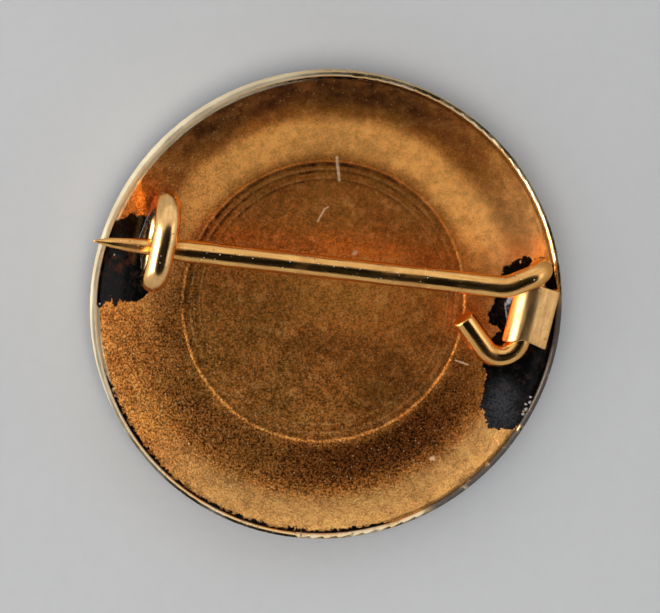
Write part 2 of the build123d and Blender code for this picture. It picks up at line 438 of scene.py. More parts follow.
# %% [markdown]
# ## Gilt metal
# The wires and the strip are brass with a thin gilding. Their metal is bright yellow, a little
# redder where it is tarnished, and drawn lines make the reflections run along the wire. Small pits
# break the highlight.


# %% The gilt finishes
def gilt(name, bright, tarnish, smooth, dull, line_scale, pit_share, mottle):
    """Gilt brass: two colours, two roughnesses, drawn lines, mottles and pits."""
    material, tree, shader = new_material(name)
    along = wire_mm(tree)
    drawn = use(tree, lines, Place=along, Scale=line_scale)
    worn = ramp(tree, noise_at(tree, along, 0.8, 5.0), 0.45, 0.72)
    mottled = ramp(tree, noise_at(tree, along, 3.6, 6.0, 0.72), 0.44, 0.62)
    spots = dots_at(tree, along, 4.5, 0.16, pit_share)
    dust = dots_at(tree, along, 9.0, 0.22, pit_share * 0.6)
    colour = over(tree, bright, tarnish, worn, 0.55)
    colour = over(tree, colour, tarnish, drawn["Mask"], 0.36)
    colour = over(tree, colour, tarnish, mottled, mottle)
    colour = over(tree, colour, (0.10, 0.045, 0.018), spots, 0.8)
    colour = over(tree, colour, (0.95, 0.88, 0.76), dust, 0.9)
    rough = line_of(tree, drawn["Mask"], dull - smooth, smooth)
    rough = total(tree, rough, product(tree, worn, 0.10))
    rough = math_node(tree, "ADD", rough, product(tree, dust, 0.35), clamp=True)
    height = less(tree, drawn["Height"], product(tree, spots, 0.006))
    height = total(tree, height, product(tree, noise_at(tree, along, 1.4), 0.010))
    connect(tree, shader, colour, rough, height, 0.9)
    tree.links.new(line_of(tree, dust, -0.85, 1.0), shader.inputs["Metallic"])
    shader.inputs["Specular Tint"].default_value = (0.92, 0.66, 0.42, 1)
    print("finish", name)
    return material


gilt_wire = gilt("gilt_wire", (0.92, 0.52, 0.17), (0.58, 0.25, 0.065), 0.12, 0.24, 7.0, 0.14, 0.15)
gilt_catch = gilt("gilt_catch", (0.95, 0.60, 0.25), (0.64, 0.30, 0.09), 0.13, 0.25, 6.0, 0.14, 0.25)
gilt_strip = gilt("gilt_strip", (0.96, 0.60, 0.25), (0.72, 0.37, 0.12), 0.28, 0.42, 12.0, 0.14, 0.50)

# %% [markdown]
# ## The lacquered back
# The back was painted black, fittings and all, and then sprayed with gold lacquer. The lacquer is
# thin and slightly powdery, so it is a rough metal with grain. Around the two fittings and along the
# rim it has come away in ragged patches and the glossy black shows. Both coats are one finish here,
# because the eye reads them as one skin: a mask chooses gold or black at each point.

# %% Where the gold is missing
coat, tree, shader = new_material("gold_over_black")
here = place_mm(tree)
bare_places = [
    ((-10.05, 1.25, 0), (1.75, 2.35, 1), 0.30),
    ((-11.6, 0.9, 0), (1.3, 2.1, 1), 0.22),
    ((10.35, 0.9, 0), (1.75, 2.7, 1), 0.24),
    ((10.9, -1.6, 0), (2.3, 3.3, 1), 0.26),
    ((9.85, -3.7, 0), (1.25, 1.75, 1), 0.26),
]
bare = 0.0
for middle, spread, ragged in bare_places:
    found = use(tree, patch, Place=here, Middle=middle, Spread=spread, Raggedness=ragged)
    bare = most(tree, found["Mask"], bare)

flat = vector(tree, "MULTIPLY", here, (1, 1, 0))
radius = vector(tree, "LENGTH", flat, out="Value")
side = vector(tree, "NORMALIZE", flat)


def towards(degrees, share, soft=0.06):
    """1 where the point lies within a sector of the disc, smoothly 0 outside."""
    way = (math.cos(math.radians(degrees)), math.sin(math.radians(degrees)), 0)
    edge = math.cos(math.radians(share))
    return ramp(tree, vector(tree, "DOT_PRODUCT", side, way, out="Value"), edge - soft, edge + soft)


worn_rim = most(tree, towards(-112, 44), product(tree, towards(96, 11), 0.8))
chips = less(tree, noise_at(tree, here, 3.6, 6.0, 0.70), 0.30)
chip_width = product(tree, line_of(tree, worn_rim, 0.80, 0.10), chips)
past_edge = less(tree, total(tree, radius, chip_width), coat_radius)
bare = most(tree, bare, ramp(tree, past_edge, 0.0, 0.05))
print(len(bare_places), "bare places and a worn rim")

# %% [markdown]
# The lacquer's colour carries painted light: a painted highlight in a band on the upper slope of the
# dish, on the lower lip and on the right slope, and painted shade on the lower, right and left
# slopes. It is also darker along one part of the rim. A painted map could say where, but rings and
# sectors of the disc say it in a few numbers that can be changed.


# %% Where the painted light and painted shade lie, by ring and sector of the disc
def ring_of(inner, outer, soft):
    """1 between two radii of the disc, smoothly 0 outside."""
    rising = ramp(tree, radius, inner - soft, inner + soft)
    falling = ramp(tree, radius, outer + soft, outer - soft)
    return product(tree, rising, falling)


def blob(middle, spread):
    """A soft-edged cloud."""
    place, size = (*middle, 0), (*spread, 1)
    return use(tree, patch, Place=here, Middle=place, Spread=size, Raggedness=0.22, Softness=0.9)["Mask"]


patchy = ramp(tree, noise_at(tree, here, 0.4, 3.0, 0.5), 0.20, 0.45, 0.75, 1.0)
# Painted highlight: a bright band on the upper slope of the dish, which is also made rougher and less metallic.
painted_top_band_light = product(tree, ring_of(7.6, 9.5, 0.5), towards(101, 80, 0.30), patchy, 0.90)
# Painted highlights on the lower lip and on the right slope of the dish.
painted_low_lip_light = product(tree, ramp(tree, radius, 9.6, 10.5), towards(-64, 62, 0.25), 0.80)
painted_right_slope_light = product(tree, ramp(tree, radius, 7.8, 9.9), towards(14, 22, 0.14), 0.92)
painted_low_right_light = most(tree, painted_low_lip_light, painted_right_slope_light)
# Painted shade on the lower, right and left slopes of the dish.
painted_shade_low, painted_shade_right = towards(-90, 62, 0.30), towards(-60, 42, 0.30)
painted_shade_sectors = most(tree, product(tree, painted_shade_low, 0.50), product(tree, painted_shade_right, 0.92))
painted_shade_band = product(tree, ramp(tree, radius, 7.15, 7.80), ramp(tree, radius, 10.35, 8.85), painted_shade_sectors)
painted_shade_left = product(tree, ring_of(6.4, 8.8, 0.45), towards(186, 22, 0.14), 0.55)
painted_shade_band = most(tree, painted_shade_band, painted_shade_left)
# Darker along the top part of the rim.
dark_top_rim = product(tree, ramp(tree, radius, 9.3, 10.8), towards(103, 48, 0.28))
down_page = vector(tree, "DOT_PRODUCT", here, (-0.34, -0.94, 0), out="Value")
coarse = ramp(tree, down_page, -9.5, 9.5, 0.30, 1.20)
coarse = product(tree, coarse, line_of(tree, painted_low_right_light, -0.70, 1.0))
# The thick and thin places of this print are the painted light and the painted shade.
print("thick and thin places laid out")

# %% [markdown]
# The gold itself is uneven too: it varies from yellow to brown over a few millimetres, it is dusted
# with grit and flakes whose glints are painted, and it carries a few scratches and fibres. The fine
# rings get painted shade and painted highlights, and the middle of the dish a painted glow and
# painted shadows. These are laid over each other from the broadest to the finest, as they came about.

# %% Gold lacquer
broad = ramp(tree, noise_at(tree, here, 0.22, 5.0, 0.62), 0.38, 0.62)
blotch = ramp(tree, noise_at(tree, here, 0.9, 7.0, 0.72), 0.42, 0.66)
powder = use(tree, grain, Place=here, Scale=10.0)
gold = mix(tree, broad, (0.72, 0.262, 0.043), (0.64, 0.195, 0.030))
gold = over(tree, gold, (0.42, 0.108, 0.020), blotch, 0.42)
# Painted highlight on the upper band of the dish.
gold = mix(tree, painted_top_band_light, gold, (0.93, 0.43, 0.105))
# Painted highlights on the lower lip and the right slope.
gold = mix(tree, painted_low_right_light, gold, (0.93, 0.475, 0.150))
gold = over(tree, gold, (0.92, 0.46, 0.125), powder["Mask"], coarse, 0.34)
soot = ramp(tree, noise_at(tree, here, 3.2, 8.0, 0.80), 0.50, 0.66)
gold = over(tree, gold, (0.17, 0.042, 0.010), soot, coarse, 0.50)
rubs = ramp(tree, noise_at(tree, here, 1.7, 6.0, 0.7), 0.50, 0.62)
rubs = product(tree, use(tree, lines, Place=here, Scale=2.4)["Mask"], rubs, 0.40)
gold = mix(tree, rubs, gold, (0.90, 0.43, 0.12))
# Painted shade on the lower, right and left slopes.
gold = mix(tree, painted_shade_band, gold, (0.14, 0.036, 0.007))
# The top part of the rim made darker, broken by the blotches.
gold = over(tree, gold, (0.040, 0.012, 0.005), dark_top_rim, line_of(tree, blotch, 0.16, 0.80))
# The thick and thin of this print are the painted light and the painted shade.
print("gold lacquer, thick and thin")

# %% Fine rings inside the step, with painted shade in their grooves and painted highlights on their ridges
crease = most(tree, ring_of(6.98, 7.17, 0.05), ring_of(6.62, 6.76, 0.06))
crease = most(tree, crease, product(tree, ring_of(6.18, 6.32, 0.07), 0.8))
# Painted shade in the grooves, stronger towards the upper left and broken by the blotches.
painted_groove_shade = line_of(tree, towards(118, 62, 0.4), 0.50, 0.22)
painted_groove_shade = product(tree, crease, painted_groove_shade, line_of(tree, blotch, 1.0, 0.5))
gold = mix(tree, painted_groove_shade, gold, (0.08, 0.024, 0.008))
# Painted highlights on the ridges beside the grooves.
painted_ridge_light = most(tree, ring_of(6.33, 6.40, 0.04), ring_of(6.79, 6.87, 0.04))
painted_ridge_light = product(tree, painted_ridge_light, ramp(tree, noise_at(tree, here, 0.6, 5.0, 0.7), 0.40, 0.60, 0.15, 0.60))
gold = mix(tree, painted_ridge_light, gold, (0.92, 0.46, 0.14))
print("rings marked")

# %% Tone from the finest grit to the broadest cloud, a painted glow and painted shadows in the middle of the dish, and specks with painted glints
grit = ramp(tree, noise_at(tree, here, 9.0, 3.0, 0.75), 0.36, 0.64, -1.0, 1.0)
cloudy = ramp(tree, noise_at(tree, here, 1.7, 5.0, 0.68), 0.34, 0.66, -1.0, 1.0)
uneven = ramp(tree, noise_at(tree, here, 0.28, 3.0, 0.5), 0.35, 0.65, 0.86, 1.12)
grit_depth = line_of(tree, painted_shade_band, 0.45, 0.58)
grit_depth = product(tree, less(tree, grit_depth, product(tree, painted_top_band_light, 0.20)), coarse)
# A painted glow in the middle of the dish, and two painted shadows below it.
painted_glow_and_shadows = line_of(tree, blob((1.4, 0.9), (4.6, 3.4)), 0.70, 1.0)
painted_glow_and_shadows = less(tree, painted_glow_and_shadows, product(tree, blob((4.0, -3.9), (3.1, 2.7)), 0.42))
painted_glow_and_shadows = less(tree, painted_glow_and_shadows, product(tree, blob((0.4, -2.3), (4.6, 1.3)), 0.26))
shade = line_of(tree, grit, grit_depth, 1.0)
shade = total(tree, shade, product(tree, cloudy, 0.18))
gold = scaled(tree, gold, most(tree, product(tree, shade, uneven, painted_glow_and_shadows), 0.12))
dark_specks = dots_at(tree, here, 3.4, 0.13, 0.30)
dark_specks = product(tree, dark_specks, coarse)
gold = over(tree, gold, (0.06, 0.022, 0.01), dark_specks, 0.70)
# Painted glints of flakes, mostly where the grain is coarse.
painted_flake_glints = dots_at(tree, here, 5.5, 0.20, 0.26)
gold = over(tree, gold, (1.0, 0.72, 0.36), painted_flake_glints, coarse, 0.70)
# Painted glints of grains inside the painted shade.
painted_grain_glints = dots_at(tree, here, 9.5, 0.27, 0.30)
gold = over(tree, gold, (0.80, 0.36, 0.10), painted_grain_glints, painted_shade_band, 0.62)
print("grit, clouds and specks")

# %% Scratches and fibres, and a painted highlight on the lip
marks = 0.0
for start, end, width in (
    ((-0.38, 7.42), (-0.08, 6.28), 0.11),
    ((-0.89, 4.05), (-0.62, 4.72), 0.075),
    ((-0.62, 4.72), (-0.45, 4.85), 0.06),
    ((7.15, -2.25), (7.80, -2.38), 0.07),
    ((1.20, 2.62), (1.26, 2.70), 0.16),
    ((6.55, -7.35), (6.63, -7.31), 0.15),
):
    way = Vector((end[0] - start[0], end[1] - start[1], 0))
    ends = {"Start": (*start, 0), "Way": tuple(way.normalized()), "Length": way.length}
    marks = most(tree, use(tree, stroke, Place=here, Width=width, **ends)["Mask"], marks)
gold = over(tree, gold, (0.90, 0.68, 0.42), marks, 0.65)
# A painted highlight on the lip of the coat at the upper left.
painted_rim_highlight = product(tree, ramp(tree, radius, 11.54, 11.62), towards(160, 50, 0.20))
gold = mix(tree, painted_rim_highlight, gold, (1.0, 0.84, 0.56))
gold_rough = line_of(tree, blotch, 0.10, 0.30)
gold_rough = total(tree, gold_rough, product(tree, painted_top_band_light, 0.20))
gold_rough = total(tree, gold_rough, product(tree, marks, 0.25))
print("scratches, fibres and the pale lip")

# %% [markdown]
# Below the gold is the black coat. It is glossy, with a painted brown reflection of the catch beside
# it, a painted grey sheen on a duller patch beside the hinge, and a few painted glints. The gold has
# a thickness, so relief drops where it ends.

# %% Black coat below the gold
scum = ramp(tree, noise_at(tree, here, 2.2, 6.0, 0.7), 0.46, 0.70)
# A painted brown reflection of the catch in the glossy black, broken by the mottle.
painted_catch_reflection = blob((-10.6, 1.2), (1.6, 1.6))
black = over(tree, (0.002, 0.002, 0.002), (0.060, 0.022, 0.012), scum, 0.22)
black = over(tree, black, (0.11, 0.032, 0.016), painted_catch_reflection, scum, 0.65)
# A painted grey sheen beside the hinge, where the black is also made duller.
painted_sheen = product(tree, blob((9.65, -4.3), (1.5, 2.0)), line_of(tree, grit, 0.35, 0.55))
black = over(tree, black, (0.075, 0.080, 0.090), painted_sheen, 0.75)
# Painted glints: scattered bright dots, and a short row of them beside the hinge.
painted_glints = dots_at(tree, here, 2.6, 0.13, 0.16)
for x, y, size in (
    (10.78, -4.42, 0.10),
    (10.90, -4.16, 0.12),
    (10.84, -3.90, 0.07),
    (11.05, -3.78, 0.11),
    (11.02, -3.50, 0.07),
):
    found = use(tree, stroke, Place=here, Start=(x, y, 0), Way=(1, 0, 0), Length=0.04, Width=size)
    painted_glints = most(tree, found["Mask"], painted_glints)
black = over(tree, black, (0.60, 0.56, 0.52), painted_glints, 0.85)
black_rough = total(tree, line_of(tree, scum, 0.22, 0.16), product(tree, painted_sheen, 0.25))
print("black coat")

# %% Gold or black at each point, and the step between the two
colour = mix(tree, bare, gold, black)
rough = line_of(tree, bare, less(tree, black_rough, gold_rough), gold_rough)
leafing = line_of(tree, painted_top_band_light, -0.30, 0.78)
metal = product(tree, leafing, less(tree, 1.0, bare))
relief = product(tree, powder["Height"], less(tree, 1.25, bare), line_of(tree, coarse, 0.8, 0.2))
relief = total(tree, relief, product(tree, noise_at(tree, here, 1.1, 3.0), 0.022))
relief = less(tree, relief, product(tree, bare, 0.025))
relief = less(tree, relief, product(tree, dark_specks, 0.012))
connect(tree, shader, colour, rough, relief, 0.9)
tree.links.new(metal, shader.inputs["Metallic"])
shader.inputs["Specular IOR Level"].default_value = 0.14
print("finish", coat.name)

# %% [markdown]
# ## The pressed sheet and the solder
# The sheet of the badge shows only as its rolled edge. Its gilding is rubbed pale in places. On the
# side of the catch it carries a painted highlight and is duller, beside the hinge it is painted dark
# as shade with a grey sheen, and the black coat has crept over it in places. The solder under the
# fittings was coated with everything else.

# %% Gilt edge of the disc
edge, tree, shader = new_material("gilt_edge")
here = place_mm(tree)
outwards = vector(tree, "NORMALIZE", here)


def facing(way, low, high):
    """1 on the part of the edge that faces one way."""
    return ramp(tree, vector(tree, "DOT_PRODUCT", outwards, way, out="Value"), low, high)


rubbed = ramp(tree, noise_at(tree, here, 0.5, 5.0, 0.6), 0.40, 0.62)
near_side = facing((-0.37, -0.93, 0), 0.60, 0.85)
# Beside the hinge the edge is painted dark as shade, with a grey sheen.
painted_shade_side = facing((0.914, -0.407, 0), 0.80, 0.86)
# On the side of the catch the edge is painted pale as a highlight and made duller.
painted_highlight_side = facing((-0.96, 0.28, 0), 0.30, 0.75)
# The black coat creeps over the near side; beside the hinge the same black is painted shade.
creep_and_painted_shade = ramp(tree, noise_at(tree, here, 2.4, 6.0, 0.7), 0.56, 0.62)
creep_and_painted_shade = product(tree, creep_and_painted_shade, line_of(tree, near_side, 0.55, 0.12))
creep_and_painted_shade = most(tree, creep_and_painted_shade, product(tree, painted_shade_side, ramp(tree, noise_at(tree, here, 1.5, 5.0), 0.30, 0.42)))
colour = mix(tree, rubbed, (0.88, 0.60, 0.28), (0.97, 0.80, 0.52))
colour = mix(tree, creep_and_painted_shade, colour, (0.014, 0.012, 0.011))
# Painted grey sheen on the shaded side beside the hinge.
colour = over(tree, colour, (0.22, 0.19, 0.18), painted_shade_side, 0.35)
# Painted highlight on the side of the catch.
colour = over(tree, colour, (1.0, 0.90, 0.68), painted_highlight_side, 0.8)
scratches = use(tree, lines, Place=here, Scale=8.0)
rough = total(tree, product(tree, rubbed, 0.14), line_of(tree, painted_highlight_side, 0.30, 0.22))
connect(tree, shader, colour, rough, scratches["Height"], 0.6)
tree.links.new(less(tree, 1.0, creep_and_painted_shade), shader.inputs["Metallic"])
shader.inputs["Specular Tint"].default_value = (1.0, 0.86, 0.60, 1)
print("finish", edge.name)

# %% Solder under the black coat
solder, tree, shader = new_material("blackened_solder")
here = place_mm(tree)
scum = ramp(tree, noise_at(tree, here, 2.0, 6.0, 0.7), 0.44, 0.70)
flakes = use(tree, grain, Place=here, Scale=7.0)
colour = over(tree, (0.008, 0.008, 0.009), (0.20, 0.13, 0.115), scum, 0.4)
# Painted glints on the solder.
painted_glints = dots_at(tree, here, 3.5, 0.14, 0.25)
colour = over(tree, colour, (0.50, 0.40, 0.33), painted_glints, 0.7)
height = total(tree, flakes["Height"], product(tree, noise_at(tree, here, 1.6), 0.05))
connect(tree, shader, colour, line_of(tree, scum, 0.22, 0.15), height, 0.9)
shader.inputs["Specular IOR Level"].default_value = 0.6
print("finish", solder.name)

# %% [markdown]
# ## The enamelled front
# The front is filled with two fields of hard enamel, ground flat and polished. Nothing of the front
# is known, so the fields are plain colours. Polished enamel has a clear gloss over a colour that
# clouds slightly, with a few dark pinholes.


# %% Two enamels
def enamel(name, deep, light):
    """Glossy enamel, slightly clouded, with pinholes and fine wiping scratches."""
    material, tree, shader = new_material(name)
    here = place_mm(tree)
    cloud = ramp(tree, noise_at(tree, here, 0.45, 5.0, 0.6), 0.35, 0.68)
    holes = dots_at(tree, here, 1.7, 0.05, 0.35)
    wiped = use(tree, lines, Place=here, Scale=5.0)
    colour = mix(tree, cloud, deep, light)
    colour = over(tree, colour, (0.01, 0.01, 0.01), holes, 0.85)
    rough = line_of(tree, wiped["Mask"], 0.08, 0.09)
    height = product(tree, noise_at(tree, here, 0.5), 0.03)
    height = less(tree, height, product(tree, holes, 0.02))
    connect(tree, shader, colour, rough, height, 0.7)
    shader.inputs["Coat Weight"].default_value = 0.5
    shader.inputs["Coat Roughness"].default_value = 0.04
    print("finish", name)
    return material


center_enamel = enamel("center_enamel", (0.70, 0.66, 0.55), (0.80, 0.77, 0.68))
border_enamel = enamel("border_enamel", (0.010, 0.035, 0.13), (0.016, 0.055, 0.19))

for name, finish in (
    ("badge_shell", edge),
    ("back_coat", coat),
    ("front_center_enamel", center_enamel),
    ("front_border_enamel", border_enamel),
):
    nodes[name].data.materials.clear()
    nodes[name].data.materials.append(finish)
print("CAD nodes finished")

# %% [markdown]
# ## Wire
# A wire bent by hand is a round bar along a line of straight runs and arcs. It is made from the
# corners of that line: each corner is rounded to its bend, the line is divided into short steps,
# and a ring of points is placed at each step. The frame that carries the rings is rolled along the
# line, so the drawn lines don't twist. A little unevenness in radius and place takes away the look
# of a perfect pipe.


# %% From corners to a line
def bent_line(corners, bends, step=0.07):
    """Points along straight runs and arcs; bends holds a radius for each inner corner."""
    points = [Vector(corners[0])]
    for index, bend in enumerate(bends, start=1):
        corner = Vector(corners[index])
        arriving = (corner - Vector(corners[index - 1])).normalized()
        leaving = (Vector(corners[index + 1]) - corner).normalized()
        angle = arriving.angle(leaving)
        setback = bend * math.tan(angle / 2)
        start = corner - arriving * setback
        middle = start + (leaving - arriving * arriving.dot(leaving)).normalized() * bend
        spin = arriving.cross(leaving).normalized()
        points.extend(divided(points[-1], start, step)[1:])
        count = max(6, round(bend * angle / step))
        for turn in range(1, count + 1):
            swing = Matrix.Rotation(angle * turn / count, 3, spin)
            points.append(middle + swing @ (start - middle))
    points.extend(divided(points[-1], Vector(corners[-1]), step)[1:])
    return points


def divided(start, end, step):
    """Points on a straight run, both ends among them."""
    count = max(1, round((end - start).length / step))
    return [start.lerp(end, index / count) for index in range(count + 1)]


def rolled_frames(points):
    """Direction and side of the line at each point, without twist."""
    frames = []
    start_way = points[1] - points[0]
    side = Vector((0, 1, 0)) if abs(start_way.y) < 0.9 * start_way.length else Vector((1, 0, 0))
    for index, point in enumerate(points):
        before = points[max(index - 1, 0)]
        after = points[min(index + 1, len(points) - 1)]
        ahead = (after - before).normalized()
        side = (side - ahead * side.dot(ahead)).normalized()
        frames.append((ahead, side, ahead.cross(side)))
    return frames


# %% From a line to a wire
CUT_END = ((0.0, 0.0), (0.0, 0.45), (0.0, 0.80), (0.012, 0.90), (0.04, 0.965), (0.10, 1.0))
ROUND_TIP = ((0.0, 0.0), (0.004, 0.45), (0.015, 0.75), (0.035, 1.0))


def skin(name, rings, closed_ends=True):
    """A closed mesh from rings of points, with the place along the metal kept on each point."""
    mesh = bpy.data.meshes.new(name)
    sides = len(rings[0][0])
    verts = [point * MM for ring, _ in rings for point in ring]
    faces = []
    for row in range(len(rings) - 1):
        for col in range(sides):
            here, below = row * sides, (row + 1) * sides
            right = (col + 1) % sides
            faces.append((here + col, here + right, below + right, below + col))
    if closed_ends:
        faces.append(tuple(reversed(range(sides))))
        faces.append(tuple(range(len(verts) - sides, len(verts))))
    mesh.from_pydata(verts, [], faces)
    kept = mesh.attributes.new("along_metal", "FLOAT_VECTOR", "POINT")
    kept.data.foreach_set("vector", [value for _, marks in rings for mark in marks for value in mark])
    mesh.polygons.foreach_set("use_smooth", [True] * len(mesh.polygons))
    obj = bpy.data.objects.new(name, mesh)
    bpy.context.scene.collection.objects.link(obj)
    weld(mesh)
    return obj


def weld(mesh):
    """Merge doubled points at the ends and make every face look outwards."""
    tidy = bmesh.new()
    tidy.from_mesh(mesh)
    bmesh.ops.remove_doubles(tidy, verts=tidy.verts, dist=2e-7)
    bmesh.ops.recalc_face_normals(tidy, faces=tidy.faces)
    tidy.to_mesh(mesh)
    tidy.free()


def wire(name, points, radius_at, first_end, last_end, seed, sides=40):
    """Round wire along a line; radius_at gives the radius at a distance from the line's start."""
    frames = rolled_frames(points)
    runs = [0.0]
    for before, after in zip(points, points[1:]):
        runs.append(runs[-1] + (after - before).length)
    length = runs[-1]

    def ring(distance, share):
        index = next((i for i, run in enumerate(runs) if run >= distance), len(runs) - 1)
        below = max(index - 1, 0)
        gap = runs[index] - runs[below]
        part = (distance - runs[below]) / gap if gap else 0.0
        centre = points[below].lerp(points[index], part)
        ahead, side, up = frames[index] if part > 0.5 else frames[below]
        sway = 0.018 * Vector([noise.noise(Vector((distance * 0.35, seed, row))) for row in (0, 17.3, 41.7)])
        radius = radius_at(distance) * (1 + 0.012 * noise.noise(Vector((distance * 0.9, seed, 3.1))))
        ring_points, marks = [], []
        for step in range(sides):
            angle = 2 * math.pi * step / sides
            cosine, sine = math.cos(angle), math.sin(angle)
            dent = 0.006 * noise.noise(Vector((distance * 1.3, cosine * 1.2 + seed, sine * 1.2)))
            spoke = (cosine * side + sine * up) * max(radius * share + dent * share, 1e-5)
            ring_points.append(centre + spoke + sway * min(radius, 1.0))
            marks.append((distance, cosine * radius * share, sine * radius * share))
        return ring_points, marks

    rings = [ring(back, share) for back, share in first_end]
    start, stop = first_end[-1][0], length - last_end[-1][0]
    rings.extend(ring(run, 1.0) for run in runs if start + 0.02 < run < stop - 0.02)
    rings.extend(ring(length - back, share) for back, share in reversed(last_end))
    return skin(name, rings, closed_ends=False)


print("wire maker ready")

# %% [markdown]
# ## The skin of the back
# The pressed sheet is true in CAD, but paint softens it: the two fine rings inside the step are half
# filled, the step has a rounded lip, and the skin is slightly dented. So the coat is made again as a
# dense mesh. Its heights are read from the CAD coat along one radius, softened, and turned round,
# and then noise of about a hundredth of a millimetre is added.


# %% Heights of the coat, read from the CAD coat
coat_mesh = bmesh.new()
coat_mesh.from_mesh(nodes["back_coat"].data)
coat_tree = BVHTree.FromBMesh(coat_mesh)
coat_mesh.free()


def border_height(radius):
    """Height of the CAD coat at a distance from the middle of the disc."""
    hit = coat_tree.ray_cast(Vector((radius * MM, 0, 1)), Vector((0, 0, -1)))
    return hit[0].z / MM


FIRST_READ, READ_STEP = 0.3, 0.02
STEP_RADIUS, RING_DEPTH_KEPT = 7.05, 0.75
reads = int((coat_radius - (FIRST_READ + READ_STEP)) / READ_STEP)
radii = FIRST_READ + READ_STEP * np.arange(reads)
read = np.array([border_height(float(radius)) for radius in radii])
flat_height = float(np.median(read[radii < 5.5]))
half_filled = flat_height + RING_DEPTH_KEPT * (read - flat_height)
soft_read = np.where(radii < STEP_RADIUS, half_filled, read)
weights = np.hanning(7) / np.hanning(7).sum()
soft_read = np.convolve(np.pad(soft_read, 3, mode="reflect", reflect_type="odd"), weights, mode="valid")


def coat_height(radius):
    """Softened height of the coat."""
    return float(np.interp(radius, radii, soft_read))


print("floor of the dish", round(flat_height, 3), "mm, lip", round(coat_height(coat_radius), 3), "mm")

# %% The coat's mesh
SPOKES = 420
COAT_THICK = 0.10
BEAD_FROM, BEAD_TO = 11.1, 11.68
ring_radii = [0.05, 0.6, 1.4, 2.2, 3.0, 3.8, 4.6, 5.3, 5.8]
ring_radii += [6.0 + 0.03 * k for k in range(48)]
ring_radii += [7.5 + 0.12 * k for k in range(31)]
ring_radii += [11.2 + 0.06 * k for k in range(9)] + [coat_radius - 0.01]


def coat_ring(radius, lower=0.0):
    """One ring of the coat; a lower ring closes it underneath."""
    points = []
    build_up = min(max((radius - BEAD_FROM) / 0.5, 0), 1) * (1 - min(max((radius - BEAD_TO) / 0.06, 0), 1))
    for spoke in range(SPOKES):
        angle = 2 * math.pi * spoke / SPOKES
        x, y = radius * math.cos(angle), radius * math.sin(angle)
        dent = 0.014 * noise.fractal(Vector((x * 0.28, y * 0.28, 4.0)), 1.0, 2.0, 3)
        bead = 0.030 * build_up * noise.fractal(Vector((x * 2.1, y * 2.1, 9.0)), 0.8, 2.0, 4)
        points.append(Vector((x, y, coat_height(radius) - lower + (0 if lower else dent + bead))))
    return points, [tuple(point) for point in points]


coat_rings = [coat_ring(radius) for radius in ring_radii]
under_radii = (coat_radius - 0.01, 11.0, 9.0, 7.4, 6.9, 3.0, 0.05)
coat_rings += [coat_ring(radius, lower=COAT_THICK) for radius in under_radii]
print(len(coat_rings), "rings of", SPOKES, "points")

# %% Close the coat and lay it on the badge
coat_skin = skin("coat_skin", coat_rings)
coat_skin.data.materials.append(coat)
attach(coat_skin, "badge")
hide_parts("back_coat")
print("coat", len(coat_skin.data.vertices), "points")

# %% [markdown]
# ## The pin
# The pin is one springy wire. It comes from the sharp tip, passes under the catch, bends beside the
# hinge, stands up in a loop, runs back through the folded strip as its axle, and ends in a short
# cut-off tail. In CAD it is two solids with a flexing joint between them; here it is one wire, made
# at rest and tied to neither joint.

# %% The pin's line, from the hinge axis and the stem's own line
hinge = Vector(joints["pin_swing"]["pos_m"]) / MM
hinge_way = Vector(joints["pin_swing"]["axis"]).normalized()
if hinge_way.y < 0:
    hinge_way = -hinge_way
flex = Vector(joints["pin_flex"]["pos_m"]) / MM
stem_mount = next(mount for mount in frame["record"]["mounts"] if mount["name"] == "pin_wire")
stem_way = -Vector(stem_mount["axis"]).normalized()
stem_middle = Vector(stem_mount["pos_m"]) / MM
pin_radius = stem_mount["dims"]["r_mm"]


def on_stem(x):
    """Point on the straight part of the pin."""
    return stem_middle + stem_way * ((x - stem_middle.x) / stem_way.x)


def on_hinge(y):
    """Point on the hinge's axis."""
    return hinge + hinge_way * ((y - hinge.y) / hinge_way.y)


LOOP_PLACE, TAIL_PLACE = 3.30, -2.816
TAIL_LENGTH, TAIL_RISE, TAIL_TURN = 4.276, 0.35, math.radians(-227)
bend_start = on_stem(flex.x + 0.90)
loop_rise = bend_start.z - hinge.z
loop_foot = on_hinge(LOOP_PLACE)
loop_top = loop_foot + Vector((0, 0, loop_rise))
tail_corner = on_hinge(TAIL_PLACE)
tail_level = TAIL_LENGTH * Vector((math.cos(TAIL_TURN), math.sin(TAIL_TURN), 0))
tail_end = tail_corner + tail_level + Vector((0, 0, TAIL_RISE))
tip_x = box_mm("pin_stem")[0].x
pin_line = bent_line(
    [on_stem(tip_x), bend_start, loop_top, loop_foot, tail_corner, tail_end],
    [1.80, 0.495 * loop_rise, 0.495 * loop_rise, 1.06],
)

taper = [(0.0, 0.045), (0.9, 0.26), (2.0, 0.38), (3.4, 0.435), (4.7, pin_radius), (99.0, pin_radius)]


def pin_radius_at(distance):
    """Half the thickness of the pin, from the taper ground on its tip."""
    for (near, thin), (far, thick) in zip(taper, taper[1:]):
        if distance <= far:
            return thin + (thick - thin) * (distance - near) / (far - near)


pin = wire("pin", pin_line, pin_radius_at, ROUND_TIP, CUT_END, 1.7)
pin.data.materials.append(gilt_wire)
print("pin", len(pin.data.vertices), "points, wire", 2 * pin_radius, "mm thick")

# %% [markdown]
# ## The catch
# The catch is a heavier wire bent into a flat-sided loop, open on one side so that the pin can snap
# under its hook. Its lower strand lies in solder on the border of the disc.

